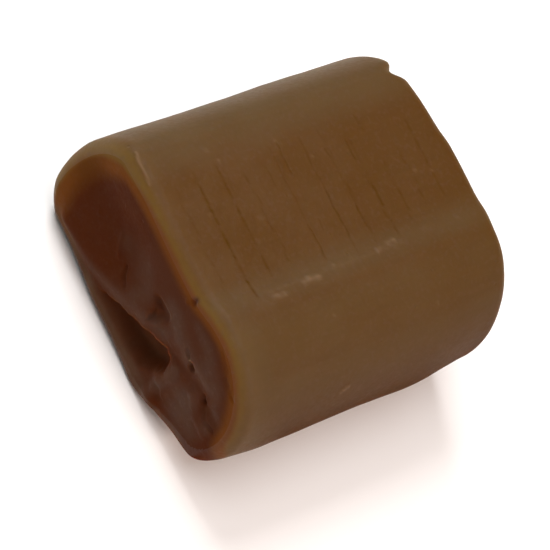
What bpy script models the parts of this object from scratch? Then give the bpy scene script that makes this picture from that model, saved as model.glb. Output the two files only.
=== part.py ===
"""Fudge bar: one stubby unwrapped block, cut by a knife at both ends and lying on its flat side.

The block runs along Y between its two cuts. -X is its high, tighter rounded edge and +X its low,
broadly rounded edge, with a soft roll along it. +Z is up. The origin is under the middle of the
block's box, on the surface it lies on.
Run it with: blender --background --python part.py
"""
import math

import bmesh
import bpy
import numpy as np
from mathutils import Vector

MM = 0.001

# Driving sizes
LENGTH = 24.0 * MM          # from cut to cut along Y, at the edges of the cuts
WIDTH = 23.9 * MM           # across, along X
FACE_HEIGHT = 12.9 * MM     # top of the flat face, between the high edge and the crease
ROLL_HEIGHT = 13.4 * MM     # top of the roll that lies along the low edge

# Section of the block
HIGH_EDGE_IN = 3.65 * MM    # how far the high edge's curve reaches in over the face
HIGH_EDGE_UP = 5.5 * MM     # height of the widest point on the high edge
CREASE_X = 3.4 * MM         # where the flat face turns up into the roll
CREASE_SPREAD = 1.6 * MM    # half the distance over which it turns
LOW_EDGE_IN = 6.4 * MM      # how far the low edge's curve reaches in over the roll
LOW_EDGE_UP = 6.4 * MM      # height of the widest point on the low edge
BASE_HIGH_IN = 2.5 * MM     # how far the base stays clear of the high edge
BASE_LOW_IN = 5.5 * MM      # how far the base stays clear of the low edge
CORNER_POWER = 1.95         # 2 is an ellipse, and less is flatter

# How the block changes along its length, from the near cut at -Y to the far cut
NEAR_DIP = 0.025            # share by which the knife pressed the face down at the near cut
NEAR_DIP_X = 0.3 * MM
NEAR_DIP_WIDTH = 4.5 * MM
NEAR_DIP_REACH = 3.5 * MM   # how far the dip runs along the block
FAR_PINCH = 0.05            # share by which the low side is drawn in at the far cut
FAR_PINCH_REACH = 7.0 * MM  # how far the pinch runs along the block
FAR_BULGE = 1.3 * MM        # how far the far cut stands out in its middle
RIM_RADIUS = 1.1 * MM       # rounding of the rims of both cuts

# Marks in the cuts: how deep, or how high where less than 0, and a path of (x, z, half width)
NEAR_CUT_MARKS = {
    "dish": (0.60 * MM, ((-8.0 * MM, 7.3 * MM, 4.4 * MM), (-4.0 * MM, 7.6 * MM, 3.8 * MM))),
    "fold": (-0.40 * MM, ((-8.4 * MM, 2.3 * MM, 0.9 * MM), (-5.4 * MM, 2.5 * MM, 1.1 * MM),
                          (-2.4 * MM, 3.8 * MM, 1.3 * MM), (0.8 * MM, 6.1 * MM, 1.4 * MM))),
    "hollow": (2.20 * MM, ((-5.2 * MM, 0.9 * MM, 0.8 * MM), (-1.6 * MM, 1.6 * MM, 1.3 * MM),
                           (1.2 * MM, 2.9 * MM, 1.9 * MM), (2.9 * MM, 4.3 * MM, 2.3 * MM))),
    "notch": (0.90 * MM, ((0.3 * MM, 8.1 * MM, 0.8 * MM), (0.9 * MM, 6.9 * MM, 1.2 * MM))),
    "mass": (-0.30 * MM, ((3.8 * MM, 8.6 * MM, 2.2 * MM), (6.6 * MM, 9.6 * MM, 1.9 * MM))),
    "step": (-0.30 * MM, ((5.2 * MM, 1.8 * MM, 1.2 * MM), (5.8 * MM, 6.4 * MM, 1.3 * MM))),
    "pit": (0.60 * MM, ((5.4 * MM, 3.2 * MM, 0.9 * MM), (5.6 * MM, 3.7 * MM, 0.9 * MM))),
    "crack": (0.80 * MM, ((7.4 * MM, 7.8 * MM, 0.7 * MM), (8.5 * MM, 6.8 * MM, 0.9 * MM),
                          (10.2 * MM, 6.3 * MM, 0.8 * MM))),
}
FAR_CUT_MARKS = {
    "nick": (0.80 * MM, ((-8.7 * MM, 12.6 * MM, 1.0 * MM), (-8.2 * MM, 11.2 * MM, 1.1 * MM))),
    "drag": (-0.20 * MM, ((-7.5 * MM, 2.2 * MM, 1.4 * MM), (0.0 * MM, 3.1 * MM, 1.9 * MM),
                          (7.0 * MM, 2.5 * MM, 1.4 * MM))),
    "scar": (0.40 * MM, ((-5.5 * MM, 9.3 * MM, 1.3 * MM), (-1.2 * MM, 7.4 * MM, 1.9 * MM),
                         (4.6 * MM, 8.0 * MM, 1.5 * MM))),
}

# Mesh: faces across, along and up the block, and how many of them make each rounded rim
COLUMNS = 52
ROWS = 11
LAYERS = 30
RIM_STEPS = 3
RIM_SHARE = 0.86            # share of a cut face, from its middle, that lies inside its rim
ARC_STEPS = 60              # points on each curve of the section before it is spaced evenly

FUDGE_COLOUR = (0.118, 0.052, 0.018, 1.0)


def smooth_step(value):
    """0 below 0 and 1 above 1, with a smooth rise between."""
    share = np.clip(value, 0.0, 1.0)
    return share * share * (3.0 - 2.0 * share)


def corner(centre, reach, quarter):
    """A rounded corner about centre, anticlockwise, from 0 at +X in quarter turns."""
    turn = np.linspace(0.0, math.pi / 2, ARC_STEPS)
    along = np.cos(turn) ** (2.0 / CORNER_POWER)
    across = np.sin(turn) ** (2.0 / CORNER_POWER)
    x_sign, z_sign = ((1, 1), (-1, 1), (-1, -1), (1, -1))[quarter]
    if quarter % 2:
        along, across = across, along
    return np.column_stack([centre[0] + x_sign * reach[0] * along, centre[1] + z_sign * reach[1] * across])


def section_sides():
    """The section's four sides, each from mid-corner to mid-corner towards +X or +Z."""
    left, right = -WIDTH / 2, WIDTH / 2
    low_top = corner((right - LOW_EDGE_IN, LOW_EDGE_UP), (LOW_EDGE_IN, ROLL_HEIGHT - LOW_EDGE_UP), 0)
    high_top = corner((left + HIGH_EDGE_IN, HIGH_EDGE_UP), (HIGH_EDGE_IN, FACE_HEIGHT - HIGH_EDGE_UP), 1)
    high_base = corner((left + BASE_HIGH_IN, HIGH_EDGE_UP), (BASE_HIGH_IN, HIGH_EDGE_UP), 2)
    low_base = corner((right - BASE_LOW_IN, LOW_EDGE_UP), (BASE_LOW_IN, LOW_EDGE_UP), 3)

    face_x = np.linspace(low_top[-1, 0], high_top[0, 0], 4 * ARC_STEPS)
    turned_up = smooth_step((face_x - CREASE_X + CREASE_SPREAD) / (2 * CREASE_SPREAD))
    face = np.column_stack([face_x, FACE_HEIGHT + (ROLL_HEIGHT - FACE_HEIGHT) * turned_up])

    half = ARC_STEPS // 2
    return {
        "base": np.vstack([high_base[half:], low_base[:half + 1]]),
        "low edge": np.vstack([low_base[half:], low_top[:half + 1]]),
        "top": np.vstack([low_top[half:], face[1:-1], high_top[:half + 1]])[::-1],
        "high edge": np.vstack([high_top[half:], high_base[:half + 1]])[::-1],
    }


def along_side(side, share):
    """Point at a share of a side's length."""
    steps = np.linalg.norm(np.diff(side, axis=0), axis=1)
    reached = np.concatenate([[0.0], np.cumsum(steps)])
    return np.array([np.interp(share * reached[-1], reached, side[:, axis]) for axis in (0, 1)])


def outline_point(sides, u, w):
    """Point of the section, and the direction into the block, for (u, w) on the square's edge."""
    if abs(w) >= abs(u):
        side, share, turn = sides["top" if w > 0 else "base"], (u + 1) / 2, -1 if w > 0 else 1
    else:
        side, share, turn = sides["low edge" if u > 0 else "high edge"], (w + 1) / 2, 1 if u > 0 else -1
    before, after = along_side(side, max(share - 0.005, 0.0)), along_side(side, min(share + 0.005, 1.0))
    tangent = (after - before) / np.linalg.norm(after - before) * turn
    return along_side(side, share), np.array([-tangent[1], tangent[0]])


def settle(x, y, z):
    """Move a place of the plain section to where it lies at y. The base stays flat."""
    from_near = y + LENGTH / 2
    dip = NEAR_DIP * math.exp(-((x - NEAR_DIP_X) / NEAR_DIP_WIDTH) ** 2 - from_near / NEAR_DIP_REACH)
    pinch = FAR_PINCH * smooth_step(1 - (LENGTH / 2 - y) / FAR_PINCH_REACH) if x > 0 else 0.0
    return Vector((x * (1 - pinch), y, z * (1 - dip)))


def mark_depth(x, z, depth, path):
    """Depth at (x, z) of a mark that follows a path of (x, z, half width) and fades to its sides."""
    strongest = 0.0
    for (x0, z0, half0), (x1, z1, half1) in zip(path, path[1:]):
        dx, dz = x1 - x0, z1 - z0
        share = min(max(((x - x0) * dx + (z - z0) * dz) / (dx * dx + dz * dz), 0.0), 1.0)
        aside = math.hypot(x - x0 - share * dx, z - z0 - share * dz)
        half = half0 + (half1 - half0) * share
        strongest = max(strongest, 1 - smooth_step(aside / half))
    return depth * strongest


def cut_depth(x, z, marks):
    """Depth of all the marks of a cut at (x, z)."""
    return sum(mark_depth(x, z, depth, path) for depth, path in marks.values())


def block_point(sides, u, v, w):
    """Place on the block for a place (u, v, w) on the surface of the cube from -1 to 1."""
    ring = max(abs(u), abs(w))
    edge, inward = outline_point(sides, u / ring, w / ring) if ring else (np.zeros(2), np.zeros(2))
    if abs(v) < 1.0:
        return settle(edge[0], v * (LENGTH / 2 - RIM_RADIUS), edge[1])

    turn = math.pi / 2 * (1 - max(ring - RIM_SHARE, 0.0) / (1 - RIM_SHARE))
    middle = np.array([0.0, FACE_HEIGHT / 2])
    inside = edge + inward * RIM_RADIUS * (1 - math.cos(turn))
    x, z = middle + (inside - middle) * min(ring / RIM_SHARE, 1.0)
    place = settle(x, v * (LENGTH / 2 - RIM_RADIUS * (1 - math.sin(turn))), z)
    if v < 0:
        place.y += cut_depth(x, z, NEAR_CUT_MARKS) * math.sin(turn)
    else:
        place.y += FAR_BULGE * (1 - (2 * x / WIDTH) ** 2) - cut_depth(x, z, FAR_CUT_MARKS)
    return place


def grid_block(segments):
    """Cube from -1 to 1 whose faces are cut into an even grid, with segments along X, Y and Z."""
    grid = bmesh.new()
    bmesh.ops.create_cube(grid, size=2.0)
    for axis, count in enumerate(segments):
        along = [edge for edge in grid.edges
                 if abs(edge.verts[0].co[axis] - edge.verts[1].co[axis]) > 1.0]
        bmesh.ops.subdivide_edges(grid, edges=along, cuts=count - 1, use_grid_fill=True)
    return grid


def across_place(even, count):
    """Move an even grid place so that the outer steps of a cut face fall in its rounded rim."""
    rim_start = 1 - 2 * RIM_STEPS / count
    size = abs(even)
    if size <= rim_start:
        return math.copysign(size / rim_start * RIM_SHARE, even)
    return math.copysign(RIM_SHARE + (size - rim_start) / (1 - rim_start) * (1 - RIM_SHARE), even)


def stand_on_origin(grid):
    """Put the middle of the block's box over the origin, with its base on the ground."""
    corners = [[pick(vert.co[axis] for vert in grid.verts) for axis in range(3)] for pick in (min, max)]
    shift = Vector((-(corners[0][0] + corners[1][0]) / 2, -(corners[0][1] + corners[1][1]) / 2, -corners[0][2]))
    bmesh.ops.translate(grid, verts=grid.verts, vec=shift)


def make_fudge_material():
    """Smooth, dense, faintly greasy brown fudge."""
    material = bpy.data.materials.new("fudge")
    material.use_nodes = True
    shader = material.node_tree.nodes["Principled BSDF"]
    shader.inputs["Base Color"].default_value = FUDGE_COLOUR
    shader.inputs["Roughness"].default_value = 0.42
    shader.inputs["Metallic"].default_value = 0.0
    return material


def make_fudge_bar(collection):
    """The block, one solid."""
    sides = section_sides()
    grid = grid_block((COLUMNS, ROWS, LAYERS))
    for vert in grid.verts:
        u, w = across_place(vert.co.x, COLUMNS), across_place(vert.co.z, LAYERS)
        vert.co = block_point(sides, u, vert.co.y, w)
    stand_on_origin(grid)
    bmesh.ops.triangulate(grid, faces=grid.faces)
    bmesh.ops.recalc_face_normals(grid, faces=grid.faces)

    mesh = bpy.data.meshes.new("fudge_bar")
    grid.to_mesh(mesh)
    grid.free()
    mesh.materials.append(make_fudge_material())
    mesh.shade_smooth()
    collection.objects.link(bpy.data.objects.new("fudge_bar", mesh))


def main():
    for old in list(bpy.data.objects):
        bpy.data.objects.remove(old, do_unlink=True)
    collection = bpy.data.collections.new("fudge bar")
    bpy.context.scene.collection.children.link(collection)
    make_fudge_bar(collection)


main()
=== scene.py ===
"""Fudge bar: the dressed model of one stubby unwrapped block of soft brown fudge.

The block lies on its flat back with its lined face up. It runs along Y between two knife cuts,
with its tight high edge at -X and its broad low edge at +X.
"""

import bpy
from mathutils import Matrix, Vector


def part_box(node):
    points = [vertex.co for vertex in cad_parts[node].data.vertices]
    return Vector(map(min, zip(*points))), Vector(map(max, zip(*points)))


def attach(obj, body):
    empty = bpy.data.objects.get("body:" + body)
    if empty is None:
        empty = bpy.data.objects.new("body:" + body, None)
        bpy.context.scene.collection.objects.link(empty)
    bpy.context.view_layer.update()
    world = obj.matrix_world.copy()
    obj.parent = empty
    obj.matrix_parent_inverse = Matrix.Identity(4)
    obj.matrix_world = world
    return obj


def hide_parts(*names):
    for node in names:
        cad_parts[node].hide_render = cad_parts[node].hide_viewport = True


bl_info = {
    "name": "Fudge bar",
    "version": (1, 0, 0),
    "blender": (4, 5, 0),
    "location": "View3D > Sidebar > Fudge",
    "description": "Makes a short unwrapped bar of soft fudge, and a plain stage for it",
    "category": "Object",
}

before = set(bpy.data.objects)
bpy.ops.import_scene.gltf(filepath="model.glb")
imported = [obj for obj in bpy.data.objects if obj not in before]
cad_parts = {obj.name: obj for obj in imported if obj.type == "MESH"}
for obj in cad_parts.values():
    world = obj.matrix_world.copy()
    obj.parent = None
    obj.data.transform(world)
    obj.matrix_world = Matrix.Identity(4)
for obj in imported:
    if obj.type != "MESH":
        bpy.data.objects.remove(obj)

import math
from types import SimpleNamespace

import bmesh
import bpy
import numpy as np
from mathutils import Quaternion, Vector, noise

MM = 0.001
TINY = 1e-6                 # slack for what should lie exactly on a cut
NODE = "fudge_bar"
BOX_LOW, BOX_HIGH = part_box(NODE)

# Section of the block, the same as the solid's
HIGH_EDGE_IN = 3.65 * MM    # how far the high edge's curve reaches in over the face
HIGH_EDGE_UP = 5.5 * MM     # height of the widest point on the high edge
CREASE_SPREAD = 1.6 * MM    # half the distance over which the face turns up into the roll
LOW_EDGE_IN = 6.4 * MM      # how far the low edge's curve reaches in over the roll
LOW_EDGE_UP = 6.4 * MM      # height of the widest point on the low edge
BASE_HIGH_IN = 2.5 * MM     # how far the base stays clear of the high edge
BASE_LOW_IN = 5.5 * MM      # how far the base stays clear of the low edge
CORNER_POWER = 1.95         # 2 is an ellipse, and less is flatter

# How the block changes along its length, from the near cut at -Y to the far cut. Here and below,
# a pair of numbers is where something starts to show and where it shows in full
NEAR_DIP = 0.025            # share by which the knife pressed the face down at the near cut
NEAR_DIP_X = 0.3 * MM
NEAR_DIP_WIDTH = 4.5 * MM
NEAR_DIP_REACH = 3.5 * MM   # how far the dip runs along the block
NEAR_UNDERCUT = 0.45 * MM   # how far the foot of the near cut lies back under the high edge
NEAR_UNDERCUT_ACROSS = (-2.0 * MM, -8.0 * MM)
NEAR_UNDERCUT_UP = (3.5 * MM, 0.0)
NEAR_UNDERCUT_REACH = (5.5 * MM, 0.0)
NEAR_PINCH = 0.022          # share by which the low side is drawn in at the near cut
NEAR_PINCH_REACH = (4.0 * MM, 0.0)
SHARP_FOOT = 0.70           # share by which the rim is sharper at the foot of the low side
SHARP_FOOT_ACROSS = (0.0, 5.0 * MM)
SHARP_FOOT_UP = (4.8 * MM, 1.8 * MM)
FOOT_LIFT = 1.7 * MM        # how far the near cut's foot curls up, where the knife dragged it
FOOT_LIFT_X = 8.0 * MM
FOOT_LIFT_ASIDE = (5.0 * MM, 0.0)
FOOT_LIFT_UP = (6.0 * MM, 0.0)
FOOT_LIFT_REACH = (4.5 * MM, 0.0)
FAR_PINCH = 0.05            # share by which the low side is drawn in at the far cut
FAR_PINCH_REACH = (7.0 * MM, 0.0)
FACE_FALL = 0.20 * MM       # how far the face falls away softly towards the high edge
FACE_FALL_REACH = 3.0 * MM
FAR_BULGE = 1.3 * MM        # how far the far cut stands out in its middle

# Main marks in the near cut, in millimetres: how deep, or how high where less than 0, how flat its
# floor is from 0 to 1, and a path of (x, z, half width)
NEAR_CUT_MARKS = {
    "dish": (0.60, 0.0, ((-8.0, 7.3, 4.4), (-4.0, 7.6, 3.8))),
    "fold": (-0.30, 0.0, ((-8.4, 2.3, 1.2), (-5.4, 2.9, 1.6), (-2.4, 4.4, 1.8), (0.8, 6.3, 1.7))),
    "notch": (0.30, 0.1, ((0.5, 7.9, 0.7), (1.5, 7.9, 0.8), (1.1, 6.7, 0.7))),
    "mass": (-0.30, 0.0, ((3.8, 8.6, 2.2), (6.6, 9.6, 1.9))),
    "step": (-0.25, 0.0, ((5.2, 1.8, 1.2), (5.8, 6.4, 1.3))),
    "pocket": (0.20, 0.0, ((8.6, 7.2, 1.0), (9.4, 7.3, 1.3))),
}

# Hollow under the flap in the near cut, in millimetres: its top and its floor are lines of (x, z)
HOLLOW_DEPTH = 1.2
HOLLOW_TOP = ((-3.8, 1.8), (-2.5, 2.7), (-1.5, 3.5), (0.0, 4.3),
              (1.5, 5.2), (2.4, 5.8), (3.4, 6.3), (4.8, 6.2))
HOLLOW_FLOOR = ((-3.8, 1.4), (1.5, 1.5), (3.0, 1.9), (4.0, 2.9), (4.6, 4.2))
HOLLOW_END = 4.7            # where the hollow stops towards the low edge
HOLLOW_TOP_FADE = 0.6
HOLLOW_FLOOR_FADE = 1.6
HOLLOW_END_FADE = 1.0
HOLLOW_SHALLOW = 0.5        # its share of the full depth at its shallow end
HOLLOW_DEEPENS = (-3.0, 2.0)
# Waves are (height, rate, shift)
HOLLOW_TOP_WAVES = ((0.07, 4.3, 0.0), (0.04, 9.7, 1.0))
HOLLOW_END_WAVES = ((0.18, 3.1, 0.0), (0.08, 8.3, 0.0))

# Small tears and creases that the knife left in the near cut, laid out like its main marks
NEAR_CUT_TEARS = {
    "slit": (0.15, 0.0, ((-3.1, 6.0, 0.18), (-2.6, 5.5, 0.32), (-1.8, 5.3, 0.18))),
    "streak": (-0.05, 0.0, ((-5.1, 6.9, 0.25), (-4.6, 6.1, 0.3), (-3.9, 5.6, 0.25))),
    "notch slit": (0.18, 0.0, ((0.70, 7.4, 0.18), (0.95, 6.7, 0.30), (1.0, 6.1, 0.22))),
    "ridge": (-0.18, 0.0, ((4.6, 6.3, 0.7), (5.0, 5.2, 0.8), (4.7, 4.0, 0.7), (5.0, 2.9, 0.6))),
    "low pit": (0.28, 0.0, ((5.1, 3.2, 0.70), (5.5, 2.8, 0.65))),
    "upper pit": (0.45, 0.0, ((5.4, 8.5, 0.25), (5.6, 8.1, 0.42))),
    "pinhole": (0.18, 0.0, ((4.5, 8.8, 0.22), (4.9, 8.6, 0.28))),
    "crack head": (0.32, 0.0, ((7.6, 7.7, 0.28), (7.9, 7.3, 0.42))),
    "crack line": (0.13, 0.0, (
        (7.9, 7.3, 0.30), (8.3, 6.7, 0.42), (9.0, 6.35, 0.36), (9.9, 6.6, 0.25))),
    "crack lip": (-0.12, 0.0, ((7.0, 6.6, 0.6), (8.2, 5.7, 0.7), (9.6, 5.5, 0.6))),
    "rim pit": (0.18, 0.0, ((2.10, 11.9, 0.25), (2.2, 11.6, 0.36))),
    "rim bead": (-0.10, 0.1, ((1.75, 11.1, 0.18), (1.85, 10.9, 0.18))),
    "upper flake": (0.08, 0.0, ((6.0, 12.1, 0.18), (7.4, 11.5, 0.24))),
    "lower flake": (0.10, 0.0, ((7.6, 11.0, 0.18), (9.1, 10.5, 0.22))),
    "speck": (-0.08, 0.0, ((-7.4, 5.9, 0.2), (-7.3, 5.7, 0.2))),
}

# Main marks, and small tears and drag lines, in the far cut
FAR_CUT_MARKS = {
    "swell": (-0.18, 0.0, ((-2.0, 12.4, 1.6), (3.0, 12.8, 2.0))),
    "nick": (0.80, 0.0, ((-8.7, 12.6, 1.0), (-8.2, 11.2, 1.1))),
    "drag": (-0.20, 0.0, ((-7.5, 2.2, 1.4), (0.0, 3.1, 1.9), (7.0, 2.5, 1.4))),
    "scar": (0.40, 0.0, ((-5.5, 9.3, 1.3), (-1.2, 7.4, 1.9), (4.6, 8.0, 1.5))),
}
FAR_CUT_TEARS = {
    "high drag": (0.10, 0.0, (
        (-8.6, 4.6, 0.20), (-2.0, 5.3, 0.28), (5.0, 4.9, 0.25), (9.6, 5.8, 0.15))),
    "middle drag": (-0.07, 0.0, ((-7.0, 6.1, 0.22), (-1.0, 6.6, 0.30), (6.2, 6.3, 0.22))),
    "low drag": (0.08, 0.0, ((-9.0, 3.1, 0.18), (-3.0, 3.9, 0.25), (4.4, 3.4, 0.20))),
    "tear": (0.32, 0.1, ((2.4, 8.4, 0.25), (3.6, 9.0, 0.45), (5.2, 8.9, 0.30))),
    "tear lip": (-0.10, 0.0, ((2.0, 7.5, 0.40), (3.9, 8.0, 0.55), (5.8, 8.0, 0.40))),
    "small pit": (0.30, 0.0, ((-3.9, 10.0, 0.28), (-3.6, 10.1, 0.34))),
    "side pit": (0.26, 0.0, ((7.9, 4.4, 0.24), (8.1, 4.1, 0.32))),
    "pinhole": (0.18, 0.0, ((-6.4, 7.8, 0.18), (-6.3, 7.6, 0.20))),
}

# Lines pressed across the face, in millimetres: y, where x starts and ends, and depth from 0 to 1
FACE_LINES = (
    (-10.0, -5.8, 3.0, 0.45),
    (-8.15, -6.0, 3.8, 1.00),
    (-6.15, -6.3, 2.4, 0.75),
    (-4.25, -5.0, 2.2, 0.65),
    (-2.45, -5.2, -3.0, 0.45),
    (-1.45, -0.5, 3.0, 0.80),
    (-0.70, -6.6, -3.4, 0.60),
    (-0.45, -0.4, 1.0, 0.35),
    (1.20, -2.2, 2.0, 0.75),
    (2.85, -5.0, -3.6, 0.55),
    (3.00, -1.8, 2.1, 0.80),
    (4.75, -5.0, -2.8, 0.65),
    (5.00, -1.9, 2.9, 1.00),
    (6.45, -6.5, -4.8, 0.65),
    (6.85, -2.6, 2.8, 0.60),
    (8.60, -3.2, 1.6, 0.55),
    (10.30, -5.0, 1.5, 0.60),
)
LINE_FADE = 0.5
HEALED_LINE = 0.7           # lines this deep run on faintly from edge to crease
FAINT_LINE = 0.34           # how deep such a line still is where it has all but healed
HEALED_ACROSS = (-6.5, 3.4)
HEALED_FADE = 0.8
LINE_WAVES = ((0.05, 1.9, 2.3), (0.03, 5.1, 1.0))
LINE_LEAST = 0.80           # how strongly a line shows on average along it
LINE_THIN_PLACES = ((0.20, 7.3, 4.1),)
LINE_THIN_STRETCHES = ((1.0, 2.9, 1.0),)

# Beads of fudge raised along the crease, painted pale for the glints they catch, in millimetres: y
# at both ends, x, and height from 0 to 1
CREASE_BEADS = (
    (-7.3, -5.8, 4.0, 0.70),
    (-7.6, 5.2, 3.5, 0.20),
    (-4.5, -2.5, 3.7, 1.00),
    (-1.7, -1.0, 3.4, 0.50),
    (0.0, 0.6, 3.2, 0.40),
    (2.3, 3.2, 3.4, 0.75),
    (3.4, 4.7, 3.2, 0.65),
    (7.1, 7.6, 3.0, 0.35),
    (10.0, 10.5, 3.2, 0.40),
)
BEAD_FADE = 0.35
BEAD_WIDTH = 0.13           # half the width of a bead of no height
BEAD_WIDTH_MORE = 0.08      # and what the full height adds to it
BEAD_WAVES = ((0.06, 4.7, 1.7),)
BEAD_LEAST = 0.75
BEAD_LUMPS = ((0.25, 9.1, 2.0),)

# Small raised specks on the face, painted pale as small glints, in millimetres: x, y, and half
# width
SPECKS = (
    (-7.3, -6.2, 0.16),
    (-6.3, -5.7, 0.14),
    (-6.4, -0.7, 0.14),
    (-4.5, 1.5, 0.12),
    (-3.0, -8.4, 0.11),
    (-1.6, -4.8, 0.15),
    (-1.1, 9.0, 0.16),
    (-0.7, 10.3, 0.12),
    (6.6, -3.3, 0.12),
    (8.3, 5.6, 0.13),
)
SPECK_HEIGHT = 0.4

# Painted glints, pale and a little raised, on the rim of the near cut and on the low side, in
# millimetres:
# paths of (x, y, half width), on what stands higher than the height set next
PAINTED_GLINTS = (
    ((-8.8, -11.3, 0.10), (-8.2, -11.45, 0.20), (-7.4, -11.45, 0.14), (-6.3, -11.55, 0.10)),
    ((11.14, -3.1, 0.08), (11.04, -2.8, 0.13), (10.96, -2.4, 0.09)),
)
GLINTS_UP = 9.0
GLINT_HEIGHT = 0.7

# Relief all over, in millimetres: the size of its lumps, and shares of the hand-made sway
BROAD_LUMPS = 5.0
FINE_LUMPS = 1.1
FINE_SHARE = 0.25
TORN_SHARE = 1.6            # where the near cut is torn
TORN_FLAT = 0.3
TORN_PATH = ((2.0, 3.0, 3.2), (6.5, 7.5, 3.6))
LUMP_SHIFT = (7.31, 3.17, 5.73)  # keeps one set of lumps apart from the next

# How far a surface has to turn towards a side, or away from it, to count
TURNED_UP = (0.4, 0.9)
TURNED_TO_CUT = (0.3, 0.8)
TURNED_DOWN = (0.3, 0.6)
TURNED_AWAY = (0.6, 0.0)

# How strongly the colours of the skin show, from 0 to 1, and where, in millimetres
SKIN_DEEP = 0.7
SKIN_DEEP_ALONG = (-4.0, 11.0)
# Paler colour painted for sheen: on the roll past the crease, on a strip of highlight along the
# crease, along the high edge and where the sides turn away from the face; it also stands for some
# rubbed wear
SHEEN_ROLL = 0.55
CREASE_HIGHLIGHT = 0.55
CREASE_HIGHLIGHT_WIDTH = 1.3
CREASE_HIGHLIGHT_UP = (10.0, 11.0)
SHEEN_BAND = 0.8             # along the high edge
SHEEN_BAND_ACROSS = (-5.5, -8.5)
SHEEN_SIDES = 0.8
SHEEN_SIDES_TURN = (1.0, 0.7)
SHEEN_AND_WEAR_LEAST = 0.85
SHEEN_AND_WEAR_LUMPS = 0.3
RUBBED = 0.9                # the low edge by the near cut
RUBBED_ACROSS = (3.0, 7.0)
RUBBED_FROM_CUT = (5.2, 1.2)
# Painted shade on the low rounded side, darker where it turns down towards the floor
LOW_SIDE_SHADE = 0.85
LOW_SIDE_TURN_UP = (0.82, -0.03)
LOW_SIDE_TURN_OUT = (0.0, 0.4)
SHADE_OVER_SHEEN = 0.6    # share of the painted sheen and wear that the painted shade of the low side takes away
LOW_SIDE_RUBBED = 0.7       # share of its painted shade that it loses where it is rubbed
LOW_SIDE_RUBBED_UP = (3.0, 6.0)

# The same for the colours of the cuts: a pale and amber glow is painted for light through their
# thin rims, also on the skin beside the near cut and along its high edge
RIM_GLOW = 0.75
RIM_GLOW_INSIDE = (-0.1, 0.6)
SKIN_GLOW = 0.15
SKIN_GLOW_FROM_CUT = (3.0, 0.0)
EDGE_GLOW = 0.5
EDGE_GLOW_ACROSS = (-8.0, -11.0)
EDGE_GLOW_RADII = (1.4, 0.0)  # from the near cut, in radii of its rim
# Painted shade in the pit on the rim of the near cut
RIM_PIT_SHADE = 0.8
RIM_PIT_SHADE_PATH = ((2.1, 11.9, 0.45), (2.2, 11.6, 0.55))
POCKET = 0.5
POCKET_FLAT = 0.2
POCKET_PATH = ((8.3, 6.9, 0.7), (9.6, 6.9, 0.8))

# How deep inside its rim the colour of a cut shows a place to be, in millimetres: the painted glow
# fades with it into the dark inside
AMBER_GLOW_DEPTH = (0.65, 1.55)
DARK_DEPTH = (1.7, 3.9)
DEPTH_INSIDE = 1.8          # for each millimetre inside the rim
DEPTH_LESS = 0.6            # and how much less of it there is at the high edge
DEPTH_LESS_ACROSS = (-3.0, -9.0)
DEPTH_LESS_UP = (0.5, 2.5)
DEPTH_BROAD = 0.25
DEPTH_FINE = 0.12
# Painted shade on the foot of the near cut, by the floor
FOOT_SHADE = 1.6
FOOT_ACROSS = (-8.5, -5.5)
FOOT_RADII = (1.3, 0.3)
FOOT_UP = 4.5
FOOT_UP_MORE = 3.0          # how much higher the foot is at the low edge
FOOT_UP_MORE_ACROSS = (5.0, 9.0)
FOOT_FADE = 3.0
# Less depth, so more painted glow, in the top corner by the high edge
CORNER_GLOW = 0.4
CORNER_ACROSS = (-8.5, 2.2)  # its middle and half width
CORNER_UP = (10.5, 2.0)     # its middle and half height
# Painted shade on the tip of the foot
TIP_SHADE = 1.7             # where the foot runs out into the low edge
TIP_ACROSS = (8.5, 10.0)
TIP_UP = (6.0, 4.0)
TIP_RADII = (2.2, 1.2)
TIP_LESS_GLOW = 0.5

# Dull film that the knife smeared on the near cut, in millimetres: how strong, and a path of
# (x, z, half width)
FILM_PATCHES = (
    (0.40, ((-4.4, 7.0, 1.4), (-2.4, 8.0, 2.0), (-0.6, 7.2, 1.5), (-0.9, 6.0, 1.2))),
    (0.7, ((1.5, 9.0, 1.4), (4.6, 8.5, 1.7), (6.8, 8.9, 1.5))),
    (0.55, (
        (3.8, 10.9, 0.9), (5.6, 10.6, 1.1), (7.6, 9.6, 1.1), (8.9, 7.8, 1.0), (9.4, 6.0, 0.9))),
    (0.65, (
        (-8.6, 1.7, 0.7), (-5.0, 2.5, 0.9), (-2.0, 3.9, 1.0), (0.6, 5.7, 1.1), (2.6, 6.9, 1.0))),
    (0.9, ((5.0, 6.2, 0.7), (5.1, 4.3, 0.6), (4.8, 2.6, 0.8))),
    (0.8, ((6.8, 5.4, 2.6), (8.0, 4.0, 2.8))),
    (0.8, ((-7.0, 1.2, 0.8), (0.0, 1.2, 0.8), (5.0, 1.5, 1.0))),
)
FILM_LEAST = 0.85
FILM_LUMPS = 1.6
FILM_LUMPS_SHARE = 0.35
FILM_FINE_SHARE = 0.2
THIN_FILM = 0.3
THIN_FILM_ACROSS = (-4.0, -1.0)
THIN_FILM_INSIDE = (1.2, 2.4)
FAR_FILM = 0.4
FAR_FILM_LUMPS = 4.0
FAR_FILM_HIGH_LUMPS = (-0.28125, 0.34375)  # it lies on the higher ones
FAR_FILM_INSIDE = (1.5, 3.0)

# Film on the sole, which is the underside of the near cut's foot, partly painted light from the
# floor, and a paler colour painted there for that light
SOLE_FILM_AND_LIGHT = 0.7
SOLE_LIGHT = 0.35
SOLE_LIGHT_ACROSS = (6.0, 2.0)
SOLE_START = (0.1, 0.4)
SOLE_ACROSS = (10.0, 8.5)
SOLE_UP = 2.4
SOLE_UP_MORE = 2.6          # how much higher the sole reaches at the low edge
SOLE_UP_MORE_ACROSS = (6.0, 9.0)
SOLE_FADE = 1.4

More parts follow.
